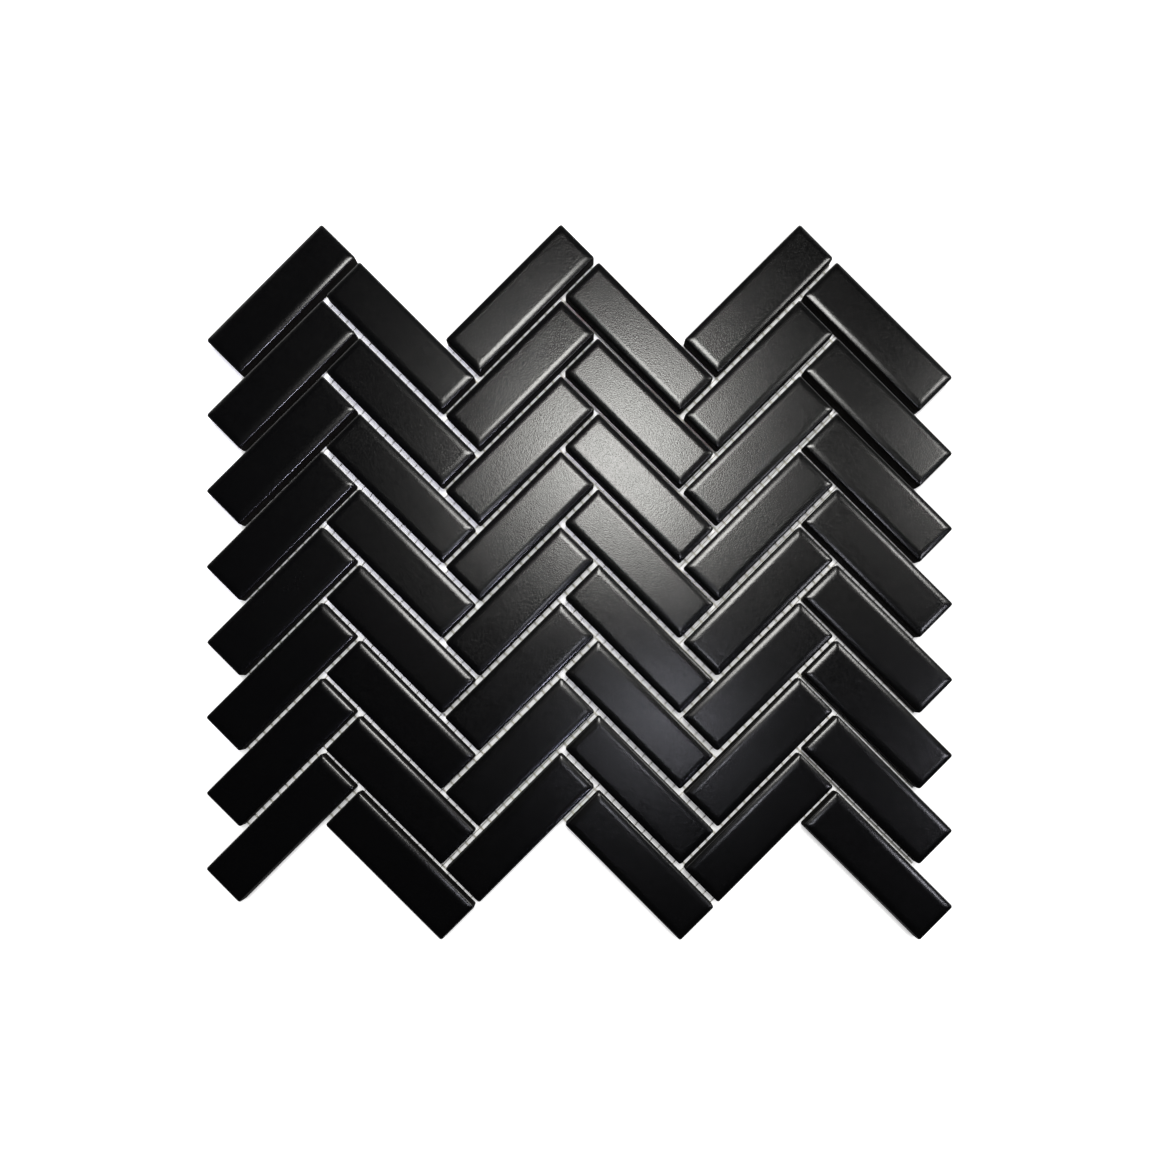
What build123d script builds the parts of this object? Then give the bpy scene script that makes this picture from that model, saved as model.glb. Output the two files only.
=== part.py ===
"""Herringbone porcelain mosaic: one sheet of cushion-edged tiles on an open glass-fibre mesh.

The sheet lies face up. The origin is the middle of the sheet, on the plane that it rests on.
+X runs across the columns, +Y up the columns, and +Z out of the face of the tiles.
"""

from build123d import *
from math import ceil, sqrt
import os

# Tile, in millimetres
tile_length = 75.0
tile_width = 22.0
tile_thickness = 6.0
corner_radius = 1.0  # upright corners, seen in plan
cushion_width = 3.7  # plan width of the margin that rolls off the flat face
cushion_drop = 0.8  # how far that margin would fall before it meets the wall
arris_radius = 1.1  # where the rolled margin turns over into the wall

# Layout of the sheet
joint = 2.5  # gap left for grout between neighbouring tiles
columns = 6
rows = 8

# Glass-fibre mesh: two layers of flat threads, parallel to the tile edges
thread_pitch = 5.0
thread_width = 0.8
thread_thickness = 0.25
mesh_inset = 0.5  # the mesh is trimmed this far inside the outer tile edges

# The two ways that tiles and threads run, at right angles and halfway between the sides of the sheet
rising_angle = 45.0
falling_angle = -rising_angle

# Places that follow from the sizes above
tile_module = tile_length + joint
row_module = tile_width + joint
column_pitch = tile_module / sqrt(2)
row_pitch = row_module * sqrt(2)
mesh_thickness = 2 * thread_thickness
wall_height = tile_thickness - cushion_drop
sheet_reach = columns * column_pitch + rows * row_pitch


def tile_plane(column, row):
    """Plane under one tile, with its x axis along the tile. Column and row count from the top left."""
    rising = column % 2 == 0
    half_drop = row_pitch / 4 if rising else -row_pitch / 4
    x = (column - (columns - 1) / 2) * column_pitch
    y = ((rows - 1) / 2 - row) * row_pitch + half_drop
    flat = Plane(origin=(x, y, mesh_thickness))
    return flat.rotated((0, 0, rising_angle if rising else falling_angle))


def cushion_section(plane, span):
    """Upright section of a tile of that span: straight walls under margins that roll up to a flat face."""
    half = span / 2
    face_half = half - cushion_width
    with BuildSketch(plane) as section:
        with BuildLine():
            Line((face_half, tile_thickness), (-face_half, tile_thickness))
            TangentArc((-face_half, tile_thickness), (-half, wall_height), tangent=(-1, 0))
            Polyline((-half, wall_height), (-half, 0), (half, 0), (half, wall_height))
            TangentArc((face_half, tile_thickness), (half, wall_height), tangent=(1, 0))
        make_face()
        fillet(section.vertices().group_by(Axis.Y)[1], arris_radius)
    return section.sketch


def make_tile(label, base):
    """One pressed tile: its plan outline, cut to the cushioned section across its width and along its length."""
    across = Plane(origin=base.origin, x_dir=base.y_dir, z_dir=base.x_dir)
    along = Plane(origin=base.origin, x_dir=base.x_dir, z_dir=-base.y_dir)
    with BuildPart() as tile:
        with BuildSketch(base):
            RectangleRounded(tile_length, tile_width, corner_radius)
        extrude(amount=tile_thickness)
        extrude(cushion_section(across, tile_width), amount=tile_length, both=True, mode=Mode.INTERSECT)
        extrude(cushion_section(along, tile_length), amount=tile_width, both=True, mode=Mode.INTERSECT)
    tile.part.label = label
    return tile.part


def mesh_outline():
    """Outline of the mesh: the tiles and their joints as one sheet, trimmed inside the outer tile edges."""
    with BuildSketch() as outline:
        for column in range(columns):
            for row in range(rows):
                base = tile_plane(column, row)
                with Locations(Location((base.origin.X, base.origin.Y), base.location.orientation.Z)):
                    Rectangle(tile_module, row_module)
        offset(amount=-(joint / 2 + mesh_inset), kind=Kind.INTERSECTION, mode=Mode.REPLACE)
    return outline.sketch


def thread_runs(outline, angle):
    """Centre lines of parallel threads at that angle, each cut where it leaves the outline of the mesh."""
    half_count = ceil(sheet_reach / thread_pitch / 2)
    half_reach = sheet_reach / 2
    runs = []
    for index in range(-half_count, half_count):
        offset_across = (index + 0.5) * thread_pitch
        level_line = Edge.make_line((-half_reach, offset_across), (half_reach, offset_across))
        runs += outline.face().intersect(level_line.rotate(Axis.Z, angle)) or []
    return runs


def make_threads(label, outline, angle, height):
    """One layer of parallel flat threads at that angle and height."""
    with BuildPart() as threads:
        with BuildSketch(Plane.XY.offset(height)):
            for run in thread_runs(outline, angle):
                with Locations(run.center()):
                    Rectangle(run.length, thread_width, rotation=angle)
        extrude(amount=thread_thickness)
    threads.part.label = label
    return threads.part


os.makedirs("parts", exist_ok=True)

for column in range(columns):
    for row in range(rows):
        name = f"tile_column{column + 1}_row{row + 1}"
        export_step(make_tile(name, tile_plane(column, row)), f"parts/{name}.step")

outline = mesh_outline()
for name, angle, height in (
    ("mesh_rising_threads", rising_angle, 0),
    ("mesh_falling_threads", falling_angle, thread_thickness),
):
    threads = make_threads(name, outline, angle, height)
    export_step(threads, f"parts/{name}.step")
    print(name, len(threads.solids()), "threads")
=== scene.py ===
# %% [markdown]
# # A sheet of herringbone porcelain mosaic
#
# The real object is a sheet of long black porcelain tiles. A factory lays them face down in a herringbone
# and bonds an open glass-fibre mesh across their backs, so that a tiler can set the whole sheet at once. The
# CAD frame already holds every tile and every thread at its true size and place. This lesson dresses that
# frame: it models one finely rounded tile, one flat yarn and one twisted pair of yarns, copies them to the
# CAD places, and gives them a satin glaze and a coated glass-fibre finish.

import math
import random

import bmesh
import bpy
from mathutils import Matrix, Vector


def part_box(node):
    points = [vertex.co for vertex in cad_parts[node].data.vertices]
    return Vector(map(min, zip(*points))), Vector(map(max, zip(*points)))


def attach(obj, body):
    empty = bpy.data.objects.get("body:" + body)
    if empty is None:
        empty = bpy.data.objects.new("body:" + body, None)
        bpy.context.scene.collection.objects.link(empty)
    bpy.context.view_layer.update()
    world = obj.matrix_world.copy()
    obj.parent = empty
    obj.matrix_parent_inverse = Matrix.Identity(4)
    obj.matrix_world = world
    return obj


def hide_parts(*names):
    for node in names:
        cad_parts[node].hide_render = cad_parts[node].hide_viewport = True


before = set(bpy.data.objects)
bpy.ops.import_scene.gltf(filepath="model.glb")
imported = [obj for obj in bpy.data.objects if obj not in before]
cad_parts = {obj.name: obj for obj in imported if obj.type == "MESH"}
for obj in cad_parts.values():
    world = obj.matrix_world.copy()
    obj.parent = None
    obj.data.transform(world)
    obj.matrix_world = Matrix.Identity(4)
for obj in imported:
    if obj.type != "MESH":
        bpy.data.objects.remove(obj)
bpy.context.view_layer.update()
MM = 0.001

# %% [markdown]
# ## Read the sizes from the frame
#
# Tiles lie at 45 degrees, so a box along the axes doesn't give their length. Measuring how far a CAD tile
# reaches along its own direction does. Odd columns rise to the right and even columns fall.

# %% Measure one CAD tile
RISING = math.radians(45)
FALLING = -RISING
QUARTER_TURN = math.radians(90)
tile_nodes = sorted(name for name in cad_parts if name.startswith("tile_"))


def tile_turn(node):
    """How far a tile is turned from the X axis, from the column in its name."""
    column = int(node.split("_")[1].removeprefix("column"))
    return RISING if column % 2 else FALLING


def reach(node, angle):
    """Lowest and highest place of a CAD node along a direction in the plan."""
    direction = Vector((math.cos(angle), math.sin(angle), 0))
    places = [vertex.co.dot(direction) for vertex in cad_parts[node].data.vertices]
    return min(places), max(places)


def span(node, angle):
    """Size of a CAD node along a direction in the plan."""
    low, high = reach(node, angle)
    return high - low


first_tile = tile_nodes[0]
tile_length = span(first_tile, tile_turn(first_tile))
tile_width = span(first_tile, tile_turn(first_tile) + QUARTER_TURN)
tile_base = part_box(first_tile)[0].z
tile_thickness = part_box(first_tile)[1].z - tile_base
tile_size = (tile_length, tile_width, tile_thickness)
print("tile in mm:", [round(size / MM, 2) for size in tile_size], "tiles:", len(tile_nodes))

# %% [markdown]
# ## Two helpers for working by hand
#
# An operator acts on whatever is selected, and the CAD nodes are still selected after loading. So each step
# first clears the selection and picks its own piece, face or edge.

# %% Selection helpers


def pick(piece):
    """Make this object the only one selected, and the active one."""
    bpy.ops.object.select_all(action="DESELECT")
    piece.select_set(True)
    bpy.context.view_layer.objects.active = piece


def select_where(mode, test):
    """In edit mode, select just the faces or edges that pass a test."""
    bpy.ops.mesh.select_mode(type=mode)
    bpy.ops.mesh.select_all(action="DESELECT")
    mesh = bmesh.from_edit_mesh(bpy.context.object.data)
    for element in mesh.faces if mode == "FACE" else mesh.edges:
        if test(element):
            element.select_set(True)
    mesh.select_flush_mode()
    bmesh.update_edit_mesh(bpy.context.object.data)


# %% [markdown]
# ## The section of a cushion edge
#
# A pressed tile has upright walls and a flat face. Between them the margin rolls off in a long shallow arc,
# which tilers call a cushion edge, and a round arris turns that arc over into the wall. The rings below are
# the steps of this section: how far in from the wall, and how high above the back.

# %% Work out the rings of the section
CUSHION_WIDTH = 3.7 * MM
CUSHION_DROP = 0.8 * MM
ARRIS_RADIUS = 1.1 * MM
ARRIS_STEPS = 8
ROLL_STEPS = 8

roll_radius = (CUSHION_WIDTH**2 + CUSHION_DROP**2) / (2 * CUSHION_DROP)
roll_centre = (CUSHION_WIDTH, tile_thickness - roll_radius)
arris_rise = math.sqrt((roll_radius - ARRIS_RADIUS) ** 2 - (CUSHION_WIDTH - ARRIS_RADIUS) ** 2)
arris_centre = (ARRIS_RADIUS, roll_centre[1] + arris_rise)
meeting_angle = math.atan2(arris_rise, ARRIS_RADIUS - CUSHION_WIDTH)


def arc(centre, radius, start, end, steps):
    """Points on an arc from one angle to another, without the first."""
    turns = [start + (end - start) * step / steps for step in range(1, steps + 1)]
    return [(centre[0] + radius * math.cos(t), centre[1] + radius * math.sin(t)) for t in turns]


wall_top = arris_centre[1]
section = [(0.0, wall_top)]
section += arc(arris_centre, ARRIS_RADIUS, math.pi, meeting_angle, ARRIS_STEPS)
section += arc(roll_centre, roll_radius, meeting_angle, QUARTER_TURN, ROLL_STEPS)
print("section rings:", len(section), "wall top in mm:", round(wall_top / MM, 2))

# %% [markdown]
# ## Model one tile
#
# A cube as tall as the walls is the blank. Its top face is inset again and again, each time by the next step
# of the section, which draws the rolled margin with neat mitres at the corners. Once the back is keyed, the
# mitres and the upright corners are bevelled together, because a pressed and glazed corner is never sharp.

# %% Inset the face to the cushion section
FLAT_RIM = 0.1 * MM  # a narrow flat ring that keeps the shading of the large face level
LEVEL = 0.9  # a face lies level when its normal points up or down by more than this

pick(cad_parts[first_tile])
blank_size = (tile_length, tile_width, wall_top)
bpy.ops.mesh.primitive_cube_add(size=1.0, location=(0, 0, wall_top / 2), scale=blank_size)
tile_master = bpy.context.object
tile_master.name = "tile_master"
bpy.ops.object.transform_apply(location=True, rotation=False, scale=True)

bpy.ops.object.mode_set(mode="EDIT")
select_where("FACE", lambda face: face.normal.z > LEVEL)
for (inset, height), (next_inset, next_height) in zip(section, section[1:]):
    bpy.ops.mesh.inset(thickness=next_inset - inset, depth=next_height - height)
bpy.ops.mesh.inset(thickness=FLAT_RIM, depth=0)
print("faces after the rings:", len(bmesh.from_edit_mesh(tile_master.data).faces))

# %% [markdown]
# ## Key the back
#
# The back of a pressed tile has a shallow waffle, so that glue and mortar grip it. The bottom face gets a
# plain border and is then divided into cells, and each cell is inset and sunk a little.

# %% Press the waffle into the back
BACK_BORDER = 1.5 * MM
KEYS_LONG, KEYS_WIDE = 12, 3
KEY_RIB = 0.7 * MM
KEY_DEPTH = 0.35 * MM
TOUCH = 0.01 * MM  # places closer than this count as the same
HAIR = TOUCH / 10  # less than any edge of the model
key_half_length = tile_length / 2 - BACK_BORDER
key_half_width = tile_width / 2 - BACK_BORDER


def in_key_field(vertex):
    """Whether a vertex lies on the back, inside the border or on its inner line."""
    inside = abs(vertex.co.x) < key_half_length + TOUCH and abs(vertex.co.y) < key_half_width + TOUCH
    return abs(vertex.co.z) < TOUCH and inside


def key_edge(edge, axis):
    """Whether an edge of the key field runs along an axis, 0 for the length and 1 for the width."""
    run = edge.verts[0].co - edge.verts[1].co
    return all(in_key_field(vertex) for vertex in edge.verts) and abs(run[axis]) > abs(run[1 - axis])


select_where("FACE", lambda face: face.normal.z < -LEVEL)
bpy.ops.mesh.inset(thickness=BACK_BORDER, depth=0)
select_where("EDGE", lambda edge: key_edge(edge, 0))
bpy.ops.mesh.subdivide(number_cuts=KEYS_LONG - 1)
select_where("EDGE", lambda edge: key_edge(edge, 1))
bpy.ops.mesh.subdivide(number_cuts=KEYS_WIDE - 1)
select_where("FACE", lambda face: all(in_key_field(vertex) for vertex in face.verts))
bpy.ops.mesh.inset(use_individual=True, thickness=KEY_RIB / 2, depth=-KEY_DEPTH)
print("faces with the keyed back:", len(bmesh.from_edit_mesh(tile_master.data).faces))

# %% Round the corners
CORNER_RADIUS = 1.0 * MM
CORNER_STEPS = 4
ROUND_PROFILE = 0.5
TILE_CREASE = math.radians(40)  # edges that turn more sharply stay crisp


def on_mitre(vertex):
    """Whether a vertex is as far in from the end of the tile as from its side."""
    from_end = tile_length / 2 - abs(vertex.co.x)
    from_side = tile_width / 2 - abs(vertex.co.y)
    return abs(from_end - from_side) < TOUCH and from_end < CUSHION_WIDTH - TOUCH


def corner_edge(edge):
    """Whether an edge runs up one corner of the tile, on the wall or the rolled margin."""
    a, b = edge.verts
    same_corner = a.co.x * b.co.x > 0 and a.co.y * b.co.y > 0
    return same_corner and on_mitre(a) and on_mitre(b) and abs(a.co.z - b.co.z) > HAIR


select_where("EDGE", corner_edge)
bpy.ops.mesh.bevel(offset=CORNER_RADIUS, offset_type="OFFSET", segments=CORNER_STEPS,
                   profile=ROUND_PROFILE, clamp_overlap=True)
bpy.ops.object.mode_set(mode="OBJECT")
bpy.ops.object.shade_smooth_by_angle(angle=TILE_CREASE)
print("finished tile:", len(tile_master.data.polygons), "faces")

# %% [markdown]
# The glaze is poured over the face and runs thin round the arris. It stops about halfway down that curve,
# and below that line the pressed body is bare, so those faces get the second material slot.

# %% Mark the bare body
GLAZED, BARE = 0, 1
GLAZE_STOP = 4  # the ring of the section at which the glaze ends
glaze_line = section[GLAZE_STOP][1]
for face in tile_master.data.polygons:
    face.material_index = BARE if face.center.z < glaze_line else GLAZED
print("bare faces:", sum(face.material_index == BARE for face in tile_master.data.polygons))

# %% [markdown]
# ## Lay the tiles
#
# Each copy has mesh data of its own, and that data is turned and moved to the CAD node's place, so that the
# objects themselves stay at the origin. Tiles never lie quite true: one side sits a hair lower, and each
# slips and turns by a fraction of a millimetre. Nor do two tiles come out of a kiln alike, so each copy
# carries a number of its own, its firing, which the glaze later reads to vary its gloss slightly. A second
# number on every vertex, its grain, says how much of the glaze's grain shows there.

# %% Copy the tile to every CAD place
random.seed(48)
TILT_ALONG = math.radians(0.2)
TILT_ACROSS = math.radians(0.7)
LAY_TURN = math.radians(0.25)
LAY_SLIP = 0.12 * MM
DRAWN_IN = 0.9984  # keeps slipped tiles inside the sheet's outline, as a drying mesh draws them together
MARGIN_GRAIN = 0.3  # glaze runs thinner and smoother over the rolled margin than on the face


def settle(mesh):
    """Let one end and one side of a tile's face sit a hair lower, as tiles do on a soft mesh."""
    along, across = random.uniform(-1, 1) * TILT_ALONG, random.uniform(-1, 1) * TILT_ACROSS
    for vertex in mesh.vertices:
        drop = abs(along) * tile_length / 2 - along * vertex.co.x
        drop += abs(across) * tile_width / 2 - across * vertex.co.y
        vertex.co.z -= drop * vertex.co.z / tile_thickness


def lay_tile(node):
    """A copy of the tile in the place of a CAD tile node."""
    low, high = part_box(node)
    centre = (low + high) / 2
    piece = tile_master.copy()
    piece.data = tile_master.data.copy()
    settle(piece.data)
    piece.name = node.replace("tile", "glazed_tile")
    bpy.context.scene.collection.objects.link(piece)
    slip = Vector((random.uniform(-1, 1), random.uniform(-1, 1), 0)) * LAY_SLIP
    place = Matrix.Translation(Vector((centre.x, centre.y, 0)) * DRAWN_IN + slip + Vector((0, 0, low.z)))
    turn = tile_turn(node) + random.uniform(-1, 1) * LAY_TURN
    piece.data.transform(place @ Matrix.Rotation(turn, 4, "Z"))
    firing = piece.data.attributes.new("firing", "FLOAT", "FACE")
    firing.data.foreach_set("value", [random.random()] * len(piece.data.polygons))
    grain = piece.data.attributes.new("grain", "FLOAT", "POINT")
    grain.data.foreach_set("value", face_grain)
    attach(piece, "root")
    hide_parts(node)
    return piece


on_face = [vertex.co.z > tile_thickness - TOUCH for vertex in tile_master.data.vertices]
face_grain = [1.0 if flat else MARGIN_GRAIN for flat in on_face]
tiles = [lay_tile(node) for node in tile_nodes]
bpy.data.objects.remove(tile_master)
print("tiles laid:", len(tiles))

# %% [markdown]
# ## Weave the mesh
#
# Glass-fibre mesh for mosaics is a gauze. Flat yarns run one way, here falling to the right. Across them run
# pairs of thin yarns, twisted so that each flat yarn is gripped between the two. The CAD frame gives the run
# of every thread, so one long flat yarn and one long twisted pair are modelled, and copies of them are cut to
# those runs.

# %% Read the runs of the threads
RUN_ROUNDING = 4  # decimals of a metre that tell one thread line from the next


def thread_runs(node, angle):
    """Each thread of a CAD mesh layer as its place across and its start and end along."""
    along = Vector((math.cos(angle), math.sin(angle), 0))
    across = Vector((-math.sin(angle), math.cos(angle), 0))
    lines = {}
    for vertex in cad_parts[node].data.vertices:
        ends = lines.setdefault(round(vertex.co.dot(across), RUN_ROUNDING), set())
        ends.add(round(vertex.co.dot(along), RUN_ROUNDING))
    sides = sorted(lines)
    runs = []
    for left, right in zip(sides[::2], sides[1::2]):
        ends = sorted(lines[left])
        runs += [((left + right) / 2, start, end) for start, end in zip(ends[::2], ends[1::2])]
    return runs


mesh_low, mesh_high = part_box("mesh_rising_threads")[0].z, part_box("mesh_falling_threads")[1].z
mesh_middle = (mesh_low + mesh_high) / 2
runs = {
    "mesh_rising_threads": thread_runs("mesh_rising_threads", RISING),
    "mesh_falling_threads": thread_runs("mesh_falling_threads", FALLING),
}
rising_lines = sorted({across for across, _, _ in runs["mesh_rising_threads"]})
thread_pitch = min(b - a for a, b in zip(rising_lines, rising_lines[1:]))
longest_run = max(max(abs(start), abs(end)) for layer in runs.values() for _, start, end in layer)
print("threads:", {node: len(layer) for node, layer in runs.items()})
print("pitch in mm:", round(thread_pitch / MM, 2))

# %% [markdown]
# The flat yarn is a short tube with a flattened section. The twisted pair is two thin tubes along one full
# twist, two pitches long. An array repeats each of them beyond the longest run.

# %% Model a flat yarn and a twisted pair
FLAT_WIDTH = 0.9 * MM
FLAT_THICKNESS = 0.16 * MM
FLAT_SIDES = 8
PAIR_RADIUS = 0.11 * MM
PAIR_SWING = 0.13 * MM
PAIR_SIDES = 4
TWIST_STEPS = 6
HALF_PITCH = 0.5  # the crossing yarns lie at half pitches from the middle of the sheet
twist_length = 2 * thread_pitch


def tube(name, length, sides, half_width, half_height, rings, path):
    """An open tube along X, with a flattened section, whose rings are moved sideways by a path."""
    bpy.ops.object.select_all(action="DESELECT")
    bpy.ops.mesh.primitive_cylinder_add(vertices=sides, radius=1.0, depth=length, end_fill_type="NOTHING",
                                        rotation=(0, QUARTER_TURN, 0))
    piece = bpy.context.object
    piece.name = name
    bpy.ops.object.transform_apply(location=False, rotation=True, scale=False)
    bpy.ops.object.mode_set(mode="EDIT")
    bpy.ops.transform.resize(value=(1, half_width, half_height))
    select_where("EDGE", lambda edge: abs(edge.verts[0].co.x - edge.verts[1].co.x) > length / 2)
    bpy.ops.mesh.subdivide(number_cuts=rings - 1)
    bpy.ops.object.mode_set(mode="OBJECT")
    for vertex in piece.data.vertices:
        y, z = path(vertex.co.x)
        vertex.co += Vector((0, y, z))
    return piece


def repeated(piece, length):
    """The piece repeated along X to twice the longest run, with its middle at the origin."""
    count = 2 * math.ceil(longest_run / length)
    piece.data.transform(Matrix.Translation((-(count - 1) / 2 * length, 0, 0)))
    pick(piece)
    array = piece.modifiers.new("repeat", "ARRAY")
    array.count = count
    array.use_relative_offset = False
    array.use_constant_offset = True
    array.constant_offset_displace = (length, 0, 0)
    array.use_merge_vertices = True
    array.merge_threshold = TOUCH
    bpy.ops.object.modifier_apply(modifier=array.name)
    return piece


def straight(x):
    """The path of a yarn that runs straight."""
    return 0, 0


def twist(side):
    """The path of one yarn of the pair: over a flat yarn at one pitch and under it at the next."""
    def path(x):
        turn = math.pi * (x / thread_pitch + HALF_PITCH) + side * QUARTER_TURN
        return PAIR_SWING * math.cos(turn), PAIR_SWING * math.sin(turn)
    return path


flat = tube("flat_yarn", thread_pitch, FLAT_SIDES, FLAT_WIDTH / 2, FLAT_THICKNESS / 2, 1, straight)
flat_yarn = repeated(flat, thread_pitch)
pair = [tube(f"pair_{side}", twist_length, PAIR_SIDES, PAIR_RADIUS, PAIR_RADIUS, TWIST_STEPS, twist(side))
        for side in (-1, 1)]
pick(pair[0])
pair[1].select_set(True)
bpy.ops.object.join()
twisted_pair = repeated(pair[0], twist_length)
print("faces in a whole thread:", len(flat_yarn.data.polygons), len(twisted_pair.data.polygons))

# %% [markdown]
# Each copy is cut at the two ends of its run and filled there, moved to its place across and turned to its
# layer's direction. Then the threads of a layer are joined, because a mesh is woven as one cloth.

# %% Cut the threads to their runs and join them
CUT_SHORT = 0.15 * MM  # at each end, so that the wider yarns stay inside the box of the CAD
YARN_CREASE = math.radians(60)  # edges that turn more sharply stay crisp


def cut_to_run(yarn, start, end):
    """A copy of a long yarn, cut square just inside the start and the end of a run."""
    piece = yarn.copy()
    piece.data = yarn.data.copy()
    bpy.context.scene.collection.objects.link(piece)
    pick(piece)
    bpy.ops.object.mode_set(mode="EDIT")
    for place, side in ((start + CUT_SHORT, -1), (end - CUT_SHORT, 1)):
        bpy.ops.mesh.select_all(action="SELECT")
        bpy.ops.mesh.bisect(plane_co=(place, 0, 0), plane_no=(side, 0, 0), use_fill=True, clear_outer=True,
                            threshold=HAIR)
    bpy.ops.object.mode_set(mode="OBJECT")
    return piece


def weave(node, yarn, angle, name):
    """One layer of the mesh, made of copies of a yarn, in the place of a CAD mesh layer."""
    threads = []
    for across, start, end in runs[node]:
        thread = cut_to_run(yarn, start, end)
        lift = Matrix.Translation((0, across, mesh_middle))
        thread.data.transform(Matrix.Rotation(angle, 4, "Z") @ lift)
        threads.append(thread)
    pick(threads[0])
    for thread in threads:
        thread.select_set(True)
    bpy.ops.object.join()
    layer = bpy.context.object
    layer.name = name
    bpy.ops.object.shade_smooth_by_angle(angle=YARN_CREASE)
    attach(layer, "root")
    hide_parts(node)
    print(name, len(layer.data.polygons), "faces")
    return layer


mesh_layers = [
    weave("mesh_rising_threads", twisted_pair, RISING, "mesh_twisted_pairs"),
    weave("mesh_falling_threads", flat_yarn, FALLING, "mesh_flat_yarns"),
]
bpy.data.objects.remove(flat_yarn)
bpy.data.objects.remove(twisted_pair)

# %% [markdown]
# ## Tools for materials
#
# Colours are written as they look on a screen, as sRGB hex values, and Blender's shaders want them linear,
# so one function converts them. Another adds a node with its settings and links.

# %% Colour and node helpers


def linear(hex_colour):
    """Linear RGBA of an sRGB hex colour."""
    channels = [int(hex_colour[i:i + 2], 16) / 255 for i in (1, 3, 5)]
    return [c / 12.92 if c <= 0.04045 else ((c + 0.055) / 1.055) ** 2.4 for c in channels] + [1.0]


def add_node(tree, kind, settings=None, inputs=None):
    """Add a node. An input is a value, or an output socket to link from."""
    node = tree.nodes.new(kind)
    for key, value in (settings or {}).items():
        setattr(node, key, value)
    for key, value in (inputs or {}).items():
        if isinstance(value, bpy.types.NodeSocket):
            tree.links.new(value, node.inputs[key])
        else:
            node.inputs[key].default_value = value
    return node


def new_material(name):
    """A material with an empty node tree, and that tree."""
    material = bpy.data.materials.new(name)
    material.use_nodes = True
    material.node_tree.nodes.clear()
    return material, material.node_tree


# %% [markdown]
# ## Satin black glaze
#
# The tiles are porcelain under a black satin glaze: glass with fine crystals that grew in it as it cooled.
# It is very dark, and its gloss is soft and grainy, because the crystals roughen the surface. Roughness of
# rather less than a quarter gives the broad sheen, and a fine bump at the size of the grain breaks it up.
# Each tile's firing makes it a little glossier or duller than its neighbours.

# %% Make the glaze
GRAIN_SIZE = 0.65 * MM  # true crystals are finer: this is as fine as shows in the picture
GRAIN_HEIGHT = 0.06 * MM
RIPPLE_SIZE = 14 * MM
TILE_GLOSS = (0.21, 0.23)  # roughness of the glossiest and the dullest tile
RIPPLE_GLOSS = 0.006  # how far slow ripples and grain move that roughness up and down
GRAIN_GLOSS = 0.04
NOISE_SPAN = (0.3, 0.7)  # where most values of a noise lie
SILICATE_IOR = 1.5  # glaze, porcelain and glass fibre are all silicates
glaze, tree = new_material("satin_black_glazed_porcelain")
place = add_node(tree, "ShaderNodeTexCoord").outputs["Object"]
grain = add_node(tree, "ShaderNodeTexNoise", inputs={
    "Vector": place, "Scale": 1 / GRAIN_SIZE, "Detail": 1.0, "Roughness": 0.7})
ripple = add_node(tree, "ShaderNodeTexNoise", inputs={
    "Vector": place, "Scale": 1 / RIPPLE_SIZE, "Detail": 2.0, "Roughness": 0.5})
firing = add_node(tree, "ShaderNodeAttribute", {"attribute_name": "firing"})
colour = add_node(tree, "ShaderNodeMix", {"data_type": "RGBA"}, {
    "Factor": grain.outputs["Fac"], "A": linear("#030304"), "B": linear("#060607")})
tile_gloss = add_node(tree, "ShaderNodeMapRange", inputs={
    "Value": firing.outputs["Fac"], "To Min": TILE_GLOSS[0], "To Max": TILE_GLOSS[1]})
ripple_gloss = add_node(tree, "ShaderNodeMapRange", inputs={
    "Value": ripple.outputs["Fac"], "From Min": NOISE_SPAN[0], "From Max": NOISE_SPAN[1],
    "To Min": -RIPPLE_GLOSS, "To Max": RIPPLE_GLOSS})
grain_gloss = add_node(tree, "ShaderNodeMapRange", inputs={
    "Value": grain.outputs["Fac"], "From Min": NOISE_SPAN[0], "From Max": NOISE_SPAN[1],
    "To Min": -GRAIN_GLOSS, "To Max": GRAIN_GLOSS})
broad_gloss = add_node(tree, "ShaderNodeMath", {"operation": "ADD"}, {
    0: tile_gloss.outputs["Result"], 1: ripple_gloss.outputs["Result"]})
gloss = add_node(tree, "ShaderNodeMath", {"operation": "ADD"}, {
    0: broad_gloss.outputs["Value"], 1: grain_gloss.outputs["Result"]})
grain_share = add_node(tree, "ShaderNodeAttribute", {"attribute_name": "grain"})
grain_bump = add_node(tree, "ShaderNodeBump", inputs={
    "Strength": grain_share.outputs["Fac"], "Distance": GRAIN_HEIGHT, "Height": grain.outputs["Fac"]})
surface = add_node(tree, "ShaderNodeBsdfPrincipled", inputs={
    "Base Color": colour.outputs["Result"], "Roughness": gloss.outputs["Value"], "IOR": SILICATE_IOR,
    "Normal": grain_bump.outputs["Normal"]})
add_node(tree, "ShaderNodeOutputMaterial", inputs={"Surface": surface.outputs["BSDF"]})
print(glaze.name, len(tree.nodes), "nodes")

# %% [markdown]
# ## Bare porcelain
#
# Pressed porcelain that has no glaze is dry and dull, with a fine sandy surface from the die. It is stained
# through here, a little browner than the glaze, and hardly reflects at all.

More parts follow.
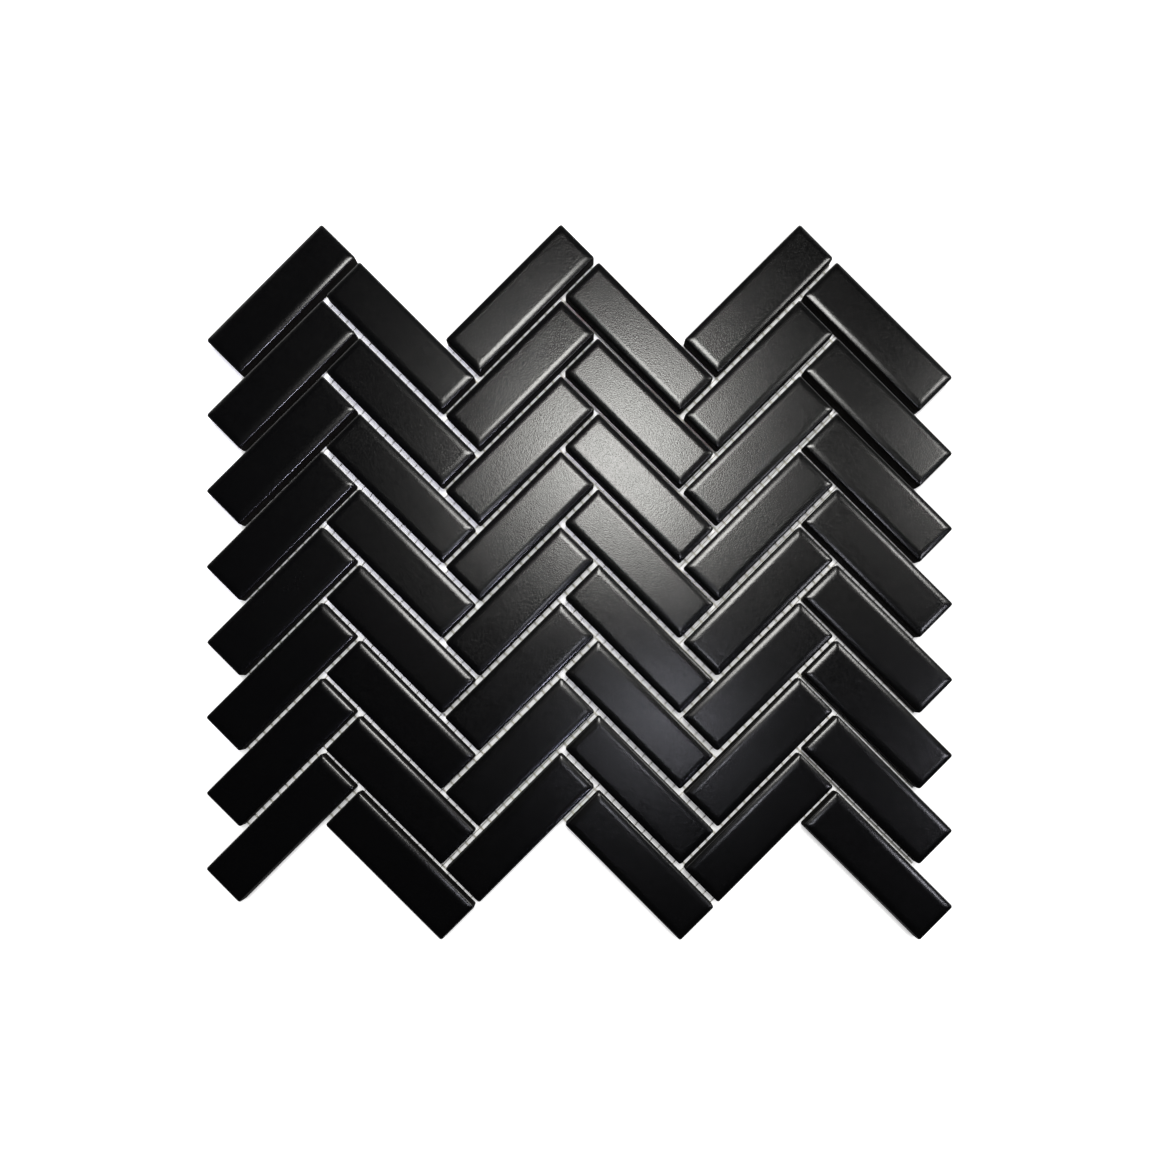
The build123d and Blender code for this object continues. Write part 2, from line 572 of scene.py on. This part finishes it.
# %% Make the bare body
SAND_SIZE = 0.35 * MM
SAND_HEIGHT = 0.05 * MM
body, tree = new_material("stained_unglazed_porcelain")
place = add_node(tree, "ShaderNodeTexCoord").outputs["Object"]
sand = add_node(tree, "ShaderNodeTexNoise", inputs={
    "Vector": place, "Scale": 1 / SAND_SIZE, "Detail": 2.0})
colour = add_node(tree, "ShaderNodeMix", {"data_type": "RGBA"}, {
    "Factor": sand.outputs["Fac"], "A": linear("#0c0a09"), "B": linear("#16120f")})
sand_bump = add_node(tree, "ShaderNodeBump", inputs={
    "Strength": 0.4, "Distance": SAND_HEIGHT, "Height": sand.outputs["Fac"]})
surface = add_node(tree, "ShaderNodeBsdfPrincipled", inputs={
    "Base Color": colour.outputs["Result"], "Roughness": 0.9, "IOR": SILICATE_IOR,
    "Specular IOR Level": 0.1, "Normal": sand_bump.outputs["Normal"]})
add_node(tree, "ShaderNodeOutputMaterial", inputs={"Surface": surface.outputs["BSDF"]})
for tile in tiles:
    for finish in (glaze, body):
        tile.data.materials.append(finish)
print("glaze and body on", len(tiles), "tiles")

# %% [markdown]
# ## Coated glass fibre
#
# The mesh is spun glass yarn dipped in a milky resin, so it is off-white and dull, and a little uneven
# where the resin sits thicker.

# %% Make the mesh finish
RESIN_PATCH = 3 * MM
fibre, tree = new_material("resin_coated_glass_fibre")
place = add_node(tree, "ShaderNodeTexCoord").outputs["Object"]
resin = add_node(tree, "ShaderNodeTexNoise", inputs={
    "Vector": place, "Scale": 1 / RESIN_PATCH, "Detail": 3.0})
colour = add_node(tree, "ShaderNodeMix", {"data_type": "RGBA"}, {
    "Factor": resin.outputs["Fac"], "A": linear("#d9d6c8"), "B": linear("#f4f2ea")})
surface = add_node(tree, "ShaderNodeBsdfPrincipled", inputs={
    "Base Color": colour.outputs["Result"], "Roughness": 0.6, "IOR": SILICATE_IOR})
add_node(tree, "ShaderNodeOutputMaterial", inputs={"Surface": surface.outputs["BSDF"]})
for layer in mesh_layers:
    layer.data.materials.append(fibre)
print("mesh finish on", len(mesh_layers), "layers")

# %% [markdown]
# ## Camera
#
# The photograph was taken from straight above, a little below the middle of the sheet. The lens was close,
# so walls show away from the foot point, which is the pixel right under the lens. The frame is moved off that
# point with the lens shift, as in a cropped photograph.

# %% Place the camera
PICTURE_SIDE = 1160
MM_PER_PIXEL = 0.4652
SHEET_MIDDLE_PIXEL = (579.6, 583.8)
FOOT_PIXEL = (584.0, 678.0)
CAMERA_HEIGHT = 330 * MM
SENSOR_WIDTH = 36  # in mm, as Blender counts sensors and lenses
NEAR_CLIP = 10 * MM
pixel = MM_PER_PIXEL * MM
foot_x = (FOOT_PIXEL[0] - SHEET_MIDDLE_PIXEL[0]) * pixel
foot_y = (SHEET_MIDDLE_PIXEL[1] - FOOT_PIXEL[1]) * pixel

bpy.ops.object.camera_add(location=(foot_x, foot_y, CAMERA_HEIGHT), rotation=(0, 0, 0))
camera = bpy.context.object
camera.data.sensor_width = SENSOR_WIDTH
camera.data.lens = camera.data.sensor_width * CAMERA_HEIGHT / (PICTURE_SIDE * pixel)
camera.data.shift_x = (PICTURE_SIDE / 2 - FOOT_PIXEL[0]) / PICTURE_SIDE
camera.data.shift_y = (FOOT_PIXEL[1] - PICTURE_SIDE / 2) / PICTURE_SIDE
camera.data.clip_start = NEAR_CLIP
bpy.context.scene.camera = camera
print("lens in mm:", round(camera.data.lens, 1))
print("lens shift:", round(camera.data.shift_x, 3), round(camera.data.shift_y, 3))

# %% [markdown]
# ## Light and floor
#
# Black glaze shows mostly what it mirrors, so the lamps draw the tiles. A large soft lamp above the far side
# makes the broad sheen in the middle, and the rolled margins catch it again as bright lines. Two lamps stand
# to the right for the sheen of the right columns, a small cool one hangs close, and a narrow spot lights the
# left columns from the near right corner.

# %% Light the sheet
SPOT_SOFTNESS = 0.5
SPOT_CONE = math.radians(6.0)


def aim(lamp, target):
    """Turn a lamp to face a point."""
    lamp.rotation_euler = (Vector(target) - lamp.location).to_track_quat("-Z", "Y").to_euler()


def add_lamp(name, place, size, watts, colour):
    """A round soft lamp that faces the middle of the sheet."""
    bpy.ops.object.light_add(type="AREA", location=place)
    lamp = bpy.context.object
    lamp.name = name
    lamp.data.shape = "DISK"
    lamp.data.size = size
    lamp.data.energy = watts
    lamp.data.color = linear(colour)[:3]
    aim(lamp, (0, 0, 0))
    return lamp


def add_spot(name, place, target, cone, size, watts, colour):
    """A round lamp in a deep shade, which lights only a cone about its target."""
    bpy.ops.object.light_add(type="SPOT", location=place)
    lamp = bpy.context.object
    lamp.name = name
    lamp.data.spot_size = cone
    lamp.data.spot_blend = SPOT_SOFTNESS
    lamp.data.shadow_soft_size = size / 2
    lamp.data.energy = watts
    lamp.data.color = linear(colour)[:3]
    aim(lamp, target)
    return lamp


# Each lamp has its place and width in metres, then its watts and its colour
left_columns = (-0.135, 0.1, 0.0)
lamps = [
    add_lamp("main_lamp", (0.068, 0.366, 1.0), 0.34, 5.9, "#fffefa"),
    add_lamp("far_right_lamp", (0.876, 0.407, 1.0), 0.24, 2.8, "#fffefa"),
    add_lamp("right_lamp", (0.95, -0.19, 1.0), 0.16, 1.4, "#e8e8f4"),
    add_lamp("near_lamp", (0.128, -0.111, 0.8), 0.08, 0.3, "#f0f2ff"),
    add_spot("corner_spot", (0.524, -0.652, 1.28), left_columns, SPOT_CONE, 0.3, 160, "#dcdcf8"),
]
print("lamps:", [lamp.name for lamp in lamps])

# %% [markdown]
# The room is dim, so that black stays black, but its far wall is light, which draws a thin grey line along
# every far edge. The camera sees white paper behind the sheet instead of the room, and so do mirrored rays
# that leave low.

# %% Light the room
WALL_LIGHT, ROOM_LIGHT = 2.5, 0.015
PAPER_TOP = (0.08, 0.14)  # sines of the elevations between which the upright paper behind the sheet ends
WALL_FOOT = (0.12, 0.18)  # and between which the light wall begins
WALL_TOP = (0.32, 0.42)  # and between which it ends
WALL_SIDES = (0.0, 0.5)  # how far towards +Y a direction points where the wall begins and is full
world = bpy.data.worlds.new("room")
world.use_nodes = True
world.node_tree.nodes.clear()
bpy.context.scene.world = world
tree = world.node_tree
path = add_node(tree, "ShaderNodeLightPath")
direction = add_node(tree, "ShaderNodeTexCoord").outputs["Generated"]
part = add_node(tree, "ShaderNodeSeparateXYZ", inputs={"Vector": direction})
above_foot = add_node(tree, "ShaderNodeMapRange", inputs={
    "Value": part.outputs["Z"], "From Min": WALL_FOOT[0], "From Max": WALL_FOOT[1]})
below_top = add_node(tree, "ShaderNodeMapRange", inputs={
    "Value": part.outputs["Z"], "From Min": WALL_TOP[0], "From Max": WALL_TOP[1],
    "To Min": WALL_LIGHT, "To Max": 0.0})
far_side = add_node(tree, "ShaderNodeMapRange", inputs={
    "Value": part.outputs["Y"], "From Min": WALL_SIDES[0], "From Max": WALL_SIDES[1]})
band = add_node(tree, "ShaderNodeMath", {"operation": "MULTIPLY"}, {
    0: above_foot.outputs["Result"], 1: below_top.outputs["Result"]})
wall = add_node(tree, "ShaderNodeMath", {"operation": "MULTIPLY"}, {
    0: band.outputs["Value"], 1: far_side.outputs["Result"]})
level = add_node(tree, "ShaderNodeMath", {"operation": "ADD"}, {0: wall.outputs["Value"], 1: ROOM_LIGHT})
room = add_node(tree, "ShaderNodeBackground", inputs={
    "Color": linear("#f0f0ee"), "Strength": level.outputs["Value"]})
paper = add_node(tree, "ShaderNodeBackground", inputs={"Color": linear("#ffffff"), "Strength": 1.0})
mirrored = add_node(tree, "ShaderNodeMath", {"operation": "MAXIMUM"}, {
    0: path.outputs["Is Glossy Ray"], 1: path.outputs["Is Transmission Ray"]})
below_paper_top = add_node(tree, "ShaderNodeMapRange", inputs={
    "Value": part.outputs["Z"], "From Min": PAPER_TOP[0], "From Max": PAPER_TOP[1],
    "To Min": 1.0, "To Max": 0.0})
mirrored_paper = add_node(tree, "ShaderNodeMath", {"operation": "MULTIPLY"}, {
    0: mirrored.outputs["Value"], 1: below_paper_top.outputs["Result"]})
sees_paper = add_node(tree, "ShaderNodeMath", {"operation": "MAXIMUM"}, {
    0: path.outputs["Is Camera Ray"], 1: mirrored_paper.outputs["Value"]})
seen = add_node(tree, "ShaderNodeMixShader", inputs={
    "Fac": sees_paper.outputs["Value"], 1: room.outputs["Background"], 2: paper.outputs["Background"]})
add_node(tree, "ShaderNodeOutputWorld", inputs={"Surface": seen.outputs["Shader"]})
print("room:", len(tree.nodes), "nodes")

# %% [markdown]
# The floor is white paper. It glows a little for the camera and for mirrored rays, but not close under the
# tiles, so that it looks white in the joints and still keeps their shade.

# %% Lay the floor
FLOOR_SIZE = 6.0
FLOOR_GLOW = 0.95
SHADE_REACH = 4.5 * MM  # how near a tile has to be to dim the glow
bpy.ops.mesh.primitive_plane_add(size=FLOOR_SIZE, location=(0, 0, 0))
floor = bpy.context.object
floor.name = "floor"
floor_paper, tree = new_material("white_paper")
path = add_node(tree, "ShaderNodeLightPath")
matt = add_node(tree, "ShaderNodeBsdfDiffuse", inputs={"Color": linear("#f0f0f0")})
open_sky = add_node(tree, "ShaderNodeAmbientOcclusion", inputs={"Distance": SHADE_REACH})
glow = add_node(tree, "ShaderNodeEmission", inputs={
    "Color": open_sky.outputs["Color"], "Strength": FLOOR_GLOW})
both = add_node(tree, "ShaderNodeAddShader", inputs={0: matt.outputs["BSDF"], 1: glow.outputs["Emission"]})
mirrored = add_node(tree, "ShaderNodeMath", {"operation": "MAXIMUM"}, {
    0: path.outputs["Is Glossy Ray"], 1: path.outputs["Is Transmission Ray"]})
sees_paper = add_node(tree, "ShaderNodeMath", {"operation": "MAXIMUM"}, {
    0: path.outputs["Is Camera Ray"], 1: mirrored.outputs["Value"]})
seen = add_node(tree, "ShaderNodeMixShader", inputs={
    "Fac": sees_paper.outputs["Value"], 1: matt.outputs["BSDF"], 2: both.outputs["Shader"]})
add_node(tree, "ShaderNodeOutputMaterial", inputs={"Surface": seen.outputs["Shader"]})
floor.data.materials.append(floor_paper)
bpy.context.scene.view_settings.view_transform = "Standard"
print("floor:", len(tree.nodes), "nodes")
